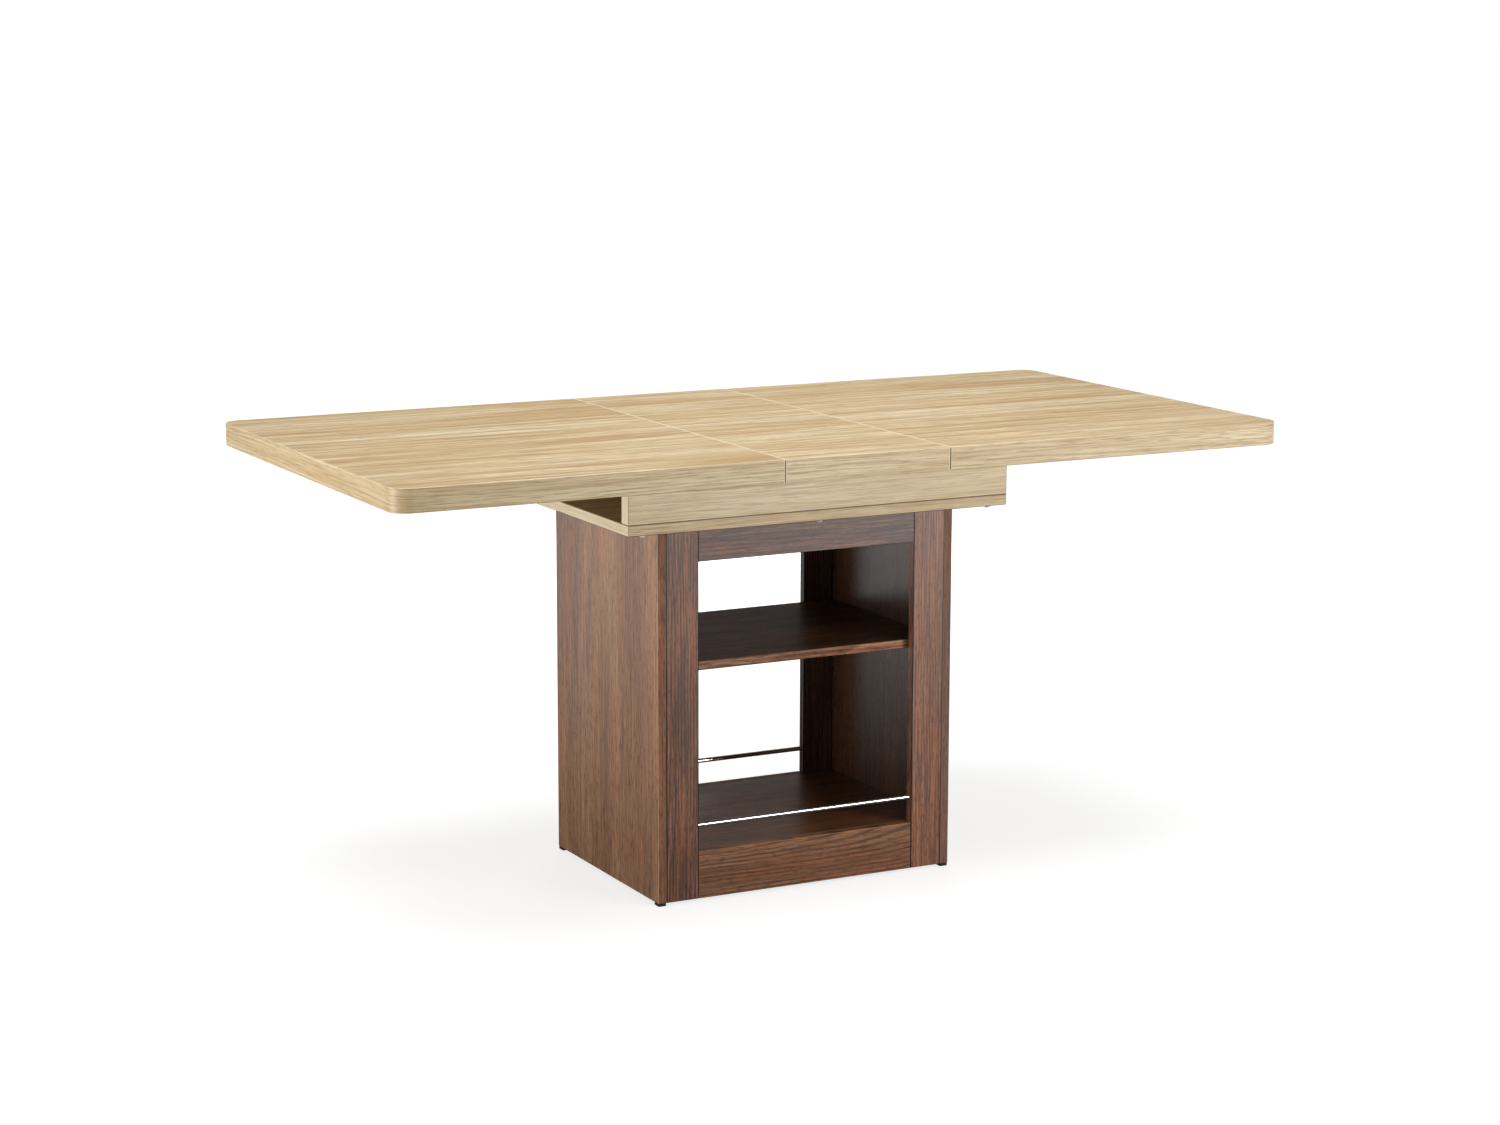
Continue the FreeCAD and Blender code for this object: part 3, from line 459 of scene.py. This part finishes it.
def oak_boards():
    """The leaves and the boards of the case, each with its oak."""
    left_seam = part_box("left_leaf")[1].x
    centre_seams = [corner.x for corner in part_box("centre_leaf")]
    right_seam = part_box("right_leaf")[0].x
    end_leaf = dict(axes="xyz", rounded=True)
    # The case boards get a pale wash of painted light, against the leaves' shade.
    upright = dict(axes="xzy", fine=1.3, painted_light_wash=0.3)
    looks = {
        "left_leaf": dict(end_leaf, seed=1.0, corner_turn=-1.0, seams=[left_seam]),
        "centre_leaf": dict(axes="xyz", seed=2.0, corner_turn=0.0, seams=centre_seams),
        "right_leaf": dict(end_leaf, seed=3.0, corner_turn=1.0, seams=[right_seam]),
        "front_case_board": dict(upright, seed=4.4),
        "rear_case_board": dict(upright, seed=5.0),
        "case_bottom": dict(axes="xyz", seed=6.0, fine=1.3),
    }
    return {board: oak(board, **look) for board, look in looks.items()}


def walnut_boards():
    """The boards of the pedestal, each with its walnut."""
    plain = (1.1, 1.0, 0.85)
    # Painted shade: the bottom board's russet is darkened for the shade on it.
    shaded_russet = (0.84, 0.74, 0.6)
    pale = (1.14, 1.12, 1.08)
    ruddy = (1.18, 0.98, 0.92)
    dusky = (0.9, 0.75, 0.69)
    slaty = (0.62, 0.59, 0.68)
    tawny = (1.0, 0.82, 0.66)
    # Painted shade: a darker tone for boards deep in the pedestal's bays.
    dark = (0.55, 0.54, 0.52)
    panel = dict(axes="zyx", tone=pale, squeeze=0.03, spread=0.006, figure=0.3, broad=9.0,
                 flush=(2.0, 18.0), vivid=0.4, edging=(0.74, 0.62, 0.58))
    stile = dict(axes="zxy", spread=0.0055, vivid=0.7, sheen=0.4, jointed=True)
    top_rail = dict(axes="xzy", tone=slaty, squeeze=0.04, spread=0.007, figure=0.5, vivid=0.7, sheen=0.4)
    bottom_rail = dict(axes="xzy", tone=tawny, squeeze=0.09, spread=0.007, flush=(2.0, 40.0), vivid=0.45,
                       sheen=0.4)
    shelf = dict(axes="xyz", squeeze=0.035, spread=0.0075, figure=0.5, flush=(1.6, 26.0), vivid=0.8)
    looks = {
        "left_side_panel": dict(panel, heart=(0.35, -0.12)),
        "right_side_panel": dict(panel, heart=(0.3, 0.1), sheen=0.85, rough=0.22),
        "front_left_stile": dict(stile, tone=dusky, heart=(0.7, -0.16), squeeze=0.02),
        "front_right_stile": dict(stile, tone=ruddy, heart=(0.4, 0.3), squeeze=0.06, figure=0.6, vivid=0.5),
        "rear_left_stile": dict(stile, tone=ruddy, heart=(0.4, -0.3), squeeze=0.06),
        # Painted shade: the rear right stile is darkened to look shaded inside the bay.
        "rear_right_stile": dict(stile, tone=dark, heart=(0.7, 0.16), squeeze=0.02),
        "front_top_rail": dict(top_rail, heart=(0.5, 0.64)),
        "rear_top_rail": dict(top_rail, heart=(-0.4, 0.64)),
        "front_bottom_rail": dict(bottom_rail, heart=(-0.15, 0.092)),
        "rear_bottom_rail": dict(bottom_rail, heart=(0.12, 0.09)),
        # Painted shade: the shelf is darkened as if shaded in its bay, and its front and rear edges
        # multiplied back up as lit.
        "middle_shelf": dict(shelf, tone=dark, heart=(0.4, 0.05), sheen=0.08, edging=(2.5, 2.7, 3.1)),
        "bottom_board": dict(shelf, tone=shaded_russet, heart=(-0.4, -0.05), sheen=0.8, rough=0.26),
        "pedestal_top_board": dict(shelf, tone=plain, heart=(0.3, 0.02)),
    }
    return {
        board: walnut(board, float(seed), **look)
        for seed, (board, look) in enumerate(looks.items(), 1)
    }


def fittings():
    """Pins, metal, plastic and felt, each by its material slot in the record."""
    metals = {
        "zinc_steel": dict(
            dark=paint(150, 150, 150), light=paint(205, 206, 208),
            scale=(300.0, 300.0, 300.0), rough=(0.3, 0.5)),
        "runner_steel": dict(
            dark=paint(60, 61, 63), light=paint(92, 93, 96),
            scale=(6.0, 500.0, 500.0), rough=(0.35, 0.55)),
        "rail_aluminium": dict(
            dark=paint(190, 192, 195), light=paint(222, 223, 225),
            scale=(4.0, 600.0, 600.0), rough=(0.25, 0.42)),
        "chrome_rod": dict(
            dark=paint(226, 227, 229), light=paint(244, 244, 245),
            scale=(9.0, 700.0, 700.0), rough=(0.05, 0.1)),
    }
    plastics = {
        "nylon": dict(dark=paint(24, 24, 25), light=paint(40, 40, 42), rough=0.42),
        "black_plastic": dict(dark=paint(18, 18, 19), light=paint(34, 34, 36), rough=0.45),
        "white_plastic": dict(dark=paint(226, 225, 222), light=paint(242, 241, 239), rough=0.35),
    }
    made = {"beech": beech("beech"), "felt": felt("felt")}
    for slot, look in metals.items():
        made[slot] = drawn_metal(slot, **look)
    for slot, look in plastics.items():
        made[slot] = moulded(slot, **look)
    return made


def finish_table(by_slot):
    """Gives every CAD node its material."""
    boards = {**oak_boards(), **walnut_boards()}
    slots = {part["node"]: part["material_slot"] for part in frame["record"]["subparts"]}
    for name, piece in nodes.items():
        material = boards.get(name) or by_slot[slots[name]]
        piece.data.materials.clear()
        piece.data.materials.append(material)


slot_finishes = fittings()
finish_table(slot_finishes)


# Screws and bolts, with a cross recess in each head

round_steps = 24
rim_share = 0.97  # points at this share of the head radius are on its rim
point_share = 0.9  # points at this share of the length are near the screw's point
touch = 0.0001  # two lengths that differ by less are the same
crease = math.radians(35.0)


def solids(piece):
    """The points of each separate solid of a CAD node."""
    made = bmesh.new()
    made.from_mesh(piece.data)
    bmesh.ops.remove_doubles(made, verts=made.verts, dist=0.000001)
    made.verts.index_update()
    seen = set()
    found = []
    for start in made.verts:
        if start.index in seen:
            continue
        seen.add(start.index)
        waiting = [start]
        points = []
        while waiting:
            vert = waiting.pop()
            points.append(vert.co.copy())
            for edge in vert.link_edges:
                other = edge.other_vert(vert)
                if other.index not in seen:
                    seen.add(other.index)
                    waiting.append(other)
        found.append(points)
    made.free()
    return found


def measure_screw(points):
    """What add_screw needs of a screw, from its points: crown, outward way, length and so on.

    A sunk head is widest at its crown, and any other one has a straight rim.
    """
    low = Vector([min(point[axis] for point in points) for axis in range(3)])
    high = Vector([max(point[axis] for point in points) for axis in range(3)])
    middle = (low + high) / 2
    length = max(high - low)
    axis = list(high - low).index(length)
    way = Vector((0.0, 0.0, 0.0))
    way[axis] = 1.0

    def reach(point):
        spoke = point - middle
        return (spoke - way * spoke.dot(way)).length

    head_radius = max(reach(point) for point in points)
    rim = [(point - middle).dot(way) for point in points if reach(point) > rim_share * head_radius]
    if sum(rim) < 0:
        way.negate()
    depths = [(length / 2 - (point - middle).dot(way), reach(point)) for point in points]
    rim_depth = max(depth for depth, out in depths if out > rim_share * head_radius)
    shank_radius = max(out for depth, out in depths if depth > point_share * length)
    sunk = rim_depth < touch
    head_height = rim_depth
    if sunk:
        head_height = min(depth for depth, out in depths if abs(out - shank_radius) < touch)
    return middle + way * length / 2, way, length, head_radius, head_height, shank_radius, sunk


def add_screw(made, crown, way, length, head_radius, head_height, shank_radius, sunk):
    """Adds a turned screw: crown with a cross recess, head, shank and point."""
    across = way.orthogonal().normalized()
    up = way.cross(across)

    def spot(right, over, depth):
        return made.verts.new(crown + across * right + up * over - way * depth)

    if sunk:
        profile = [(head_radius, 0.0), (shank_radius, head_height)]
    else:
        profile = [
            (head_radius * 0.66, 0.0),
            (head_radius * 0.84, head_height * 0.12),
            (head_radius * 0.96, head_height * 0.42),
            (head_radius, head_height * 0.8),
            (head_radius, head_height),
            (shank_radius, head_height),
        ]
    point_length = shank_radius * 1.6
    tip_radius = shank_radius * 0.2
    profile.append((shank_radius, length - point_length))
    profile.append((tip_radius, length))
    turns = [2 * math.pi * step / round_steps for step in range(round_steps)]
    rings = []
    for radius, depth in profile:
        rings.append([spot(radius * math.cos(turn), radius * math.sin(turn), depth) for turn in turns])
    for outer, inner in zip(rings, rings[1:]):
        for step in range(round_steps):
            following = (step + 1) % round_steps
            made.faces.new((outer[step], outer[following], inner[following], inner[step]))
    made.faces.new(rings[-1])

    arm = head_radius * 0.52
    slim = head_radius * 0.13
    recess = head_height * 0.6
    taper = 0.7
    corner = [(arm, slim), (slim, slim), (slim, arm)]
    cross = list(corner)
    for _ in range(3):
        corner = [(-over, right) for right, over in corner]
        cross.extend(corner)
    mouth = [spot(right, over, 0.0) for right, over in cross]
    floor = [spot(right * taper, over * taper, recess) for right, over in cross]
    count = len(cross)
    for step in range(count):
        following = (step + 1) % count
        made.faces.new((mouth[step], mouth[following], floor[following], floor[step]))
    made.faces.new(floor)
    edges = []
    for loop in (rings[0], mouth):
        for first, second in zip(loop, loop[1:] + loop[:1]):
            edges.append(made.edges.get((first, second)))
    bmesh.ops.triangle_fill(made, edges=edges, use_beauty=True, use_dissolve=False)


def cross_heads(node):
    """Turned screws with cross heads in place of a CAD node of screws."""
    made = bmesh.new()
    for points in solids(nodes[node]):
        add_screw(made, *measure_screw(points))
    bmesh.ops.recalc_face_normals(made, faces=made.faces)
    mesh = bpy.data.meshes.new(f"{node}_cross_head")
    made.to_mesh(mesh)
    made.free()
    mesh.shade_smooth()
    mesh.set_sharp_from_angle(angle=crease)
    mesh.materials.append(slot_finishes["zinc_steel"])
    piece = bpy.data.objects.new(f"{node}_cross_head", mesh)
    bpy.context.scene.collection.objects.link(piece)
    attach(piece, nodes[node]["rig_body"])
    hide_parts(node)


screw_nodes = [
    "left_runner_screws",
    "left_slider_screws",
    "right_runner_screws",
    "right_slider_screws",
    "batten_screws",
    "guide_rail_screws",
    "stop_screws",
    "pedestal_bolts",
]
for screw_node in screw_nodes:
    cross_heads(screw_node)


# Floor, light and camera

floor_radius = 60.0


def studio_floor():
    """A pale floor that keeps the table's shadow, and is clear from below.

    To the camera it goes over into the white background, and so it does to mirrors. Near the table both
    glow less, a painted shade round its base. To all else it is grey.
    """
    mesh = bpy.data.meshes.new("floor")
    made = bmesh.new()
    bmesh.ops.create_circle(made, cap_ends=True, segments=96, radius=floor_radius)
    made.to_mesh(mesh)
    made.free()
    floor = bpy.data.objects.new("floor", mesh)
    bpy.context.scene.collection.objects.link(floor)
    shade = material_shade("floor")
    x, y, _ = shade.split(shade.place())
    reach = shade.math("SQRT", shade.add(shade.times(x, x), shade.times(y, y)))
    lit = shade.node("BsdfDiffuse", {"Color": grey(0.35)})
    pale = shade.node("BsdfDiffuse", {"Color": grey(0.4)})
    # Painted shade: to the camera the floor glows up to white, and less near the table, darkening round its
    # base.
    white = shade.node("Emission", {"Strength": shade.step(reach, 0.3, 3.0, 0.76, 1.0)})
    shown = shade.node("AddShader", {0: pale.outputs[0], 1: white.outputs[0]})
    dull = shade.node("BsdfDiffuse", {"Color": grey(0.2)})
    # Painted reflection: to mirrors the floor glows more the farther it is from the table, so near it
    # reflections are darker.
    sheen = shade.node("Emission", {"Strength": shade.step(reach, 0.6, 3.2, 0.0, 0.9)})
    mirrored = shade.node("AddShader", {0: dull.outputs[0], 1: sheen.outputs[0]})
    upper = shade.node("MixShader", {0: shade.mirror_view(), 1: lit.outputs[0], 2: mirrored.outputs[0]})
    upper = shade.node("MixShader", {0: shade.open_view(), 1: upper.outputs[0], 2: shown.outputs[0]})
    clear = shade.node("BsdfTransparent")
    below = shade.node("NewGeometry").outputs["Backfacing"]
    whole = shade.node("MixShader", {0: below, 1: upper.outputs[0], 2: clear.outputs[0]})
    shade.node("OutputMaterial", {"Surface": whole.outputs[0]})
    mesh.materials.append(shade.owner)


def studio_world(fill):
    """White to the camera, darker above the horizon to mirrors, and to all else a soft fill.

    The fill comes mostly from the front.
    """
    world = bpy.data.worlds.new("studio")
    bpy.context.scene.world = world
    shade = Shade(world)
    _, back, rise = shade.split(shade.node("TexCoord").outputs["Generated"])
    mirrored = shade.step(rise, 0.0, 0.08, 0.9, 0.16)
    soft = shade.step(back, -0.6, 0.6, fill * 1.3, fill * 0.2)
    level = shade.mix_value(shade.mirror_view(), soft, mirrored)
    level = shade.mix_value(shade.open_view(), level, 1.0)
    background = shade.node("Background", {"Color": grey(1.0), "Strength": level})
    shade.node("OutputWorld", {"Surface": background.outputs[0]})


def softbox(name, spot, target, size, power, mirrored=True):
    """A soft lamp of a width and height. mirrored: whether glossy surfaces show it."""
    lamp = bpy.data.lights.new(name, "AREA")
    lamp.shape = "RECTANGLE"
    lamp.size, lamp.size_y = size
    lamp.energy = power
    made = bpy.data.objects.new(name, lamp)
    made.location = spot
    made.rotation_mode = "QUATERNION"
    made.rotation_quaternion = (Vector(target) - Vector(spot)).to_track_quat("-Z", "Y")
    made.visible_camera = False
    made.visible_glossy = mirrored
    bpy.context.scene.collection.objects.link(made)


def studio_camera():
    """The photograph's camera, solved from the straight edges of the table."""
    photo_width = 1500
    focal_pixels = 3212.76
    spot = (-2.47778, -4.765, 1.51721)
    yaw, pitch, roll = math.radians(27.437), math.radians(10.54), math.radians(0.137)
    lens = bpy.data.cameras.new("camera")
    lens.sensor_width = 36.0
    lens.sensor_fit = "HORIZONTAL"
    lens.lens = focal_pixels / photo_width * lens.sensor_width
    lens.clip_end = 200.0
    made = bpy.data.objects.new("camera", lens)
    level = Matrix.Rotation(-yaw, 4, "Z") @ Matrix.Rotation(math.pi / 2 - pitch, 4, "X")
    made.matrix_world = Matrix.Translation(spot) @ level @ Matrix.Rotation(roll, 4, "Z")
    bpy.context.scene.collection.objects.link(made)
    bpy.context.scene.camera = made


studio_floor()
studio_world(fill=0.15)
softbox("overhead", spot=(-0.15, -0.3, 3.2), target=(-0.1, 0.0, 0.7), size=(3.0, 2.1), power=91.0)
softbox("left", spot=(-2.7, -0.15, 0.5), target=(-0.3, 0.0, 0.45), size=(0.9, 0.8), power=36.0)
softbox("front_right", spot=(1.8, -3.1, 0.75), target=(0.1, -0.2, 0.6), size=(1.4, 1.2), power=62.0)
softbox("rear", spot=(1.5, 3.0, 0.8), target=(0.0, 0.2, 0.55), size=(1.4, 1.2), power=45.0, mirrored=False)
studio_camera()
bpy.context.scene.view_settings.view_transform = "Standard"
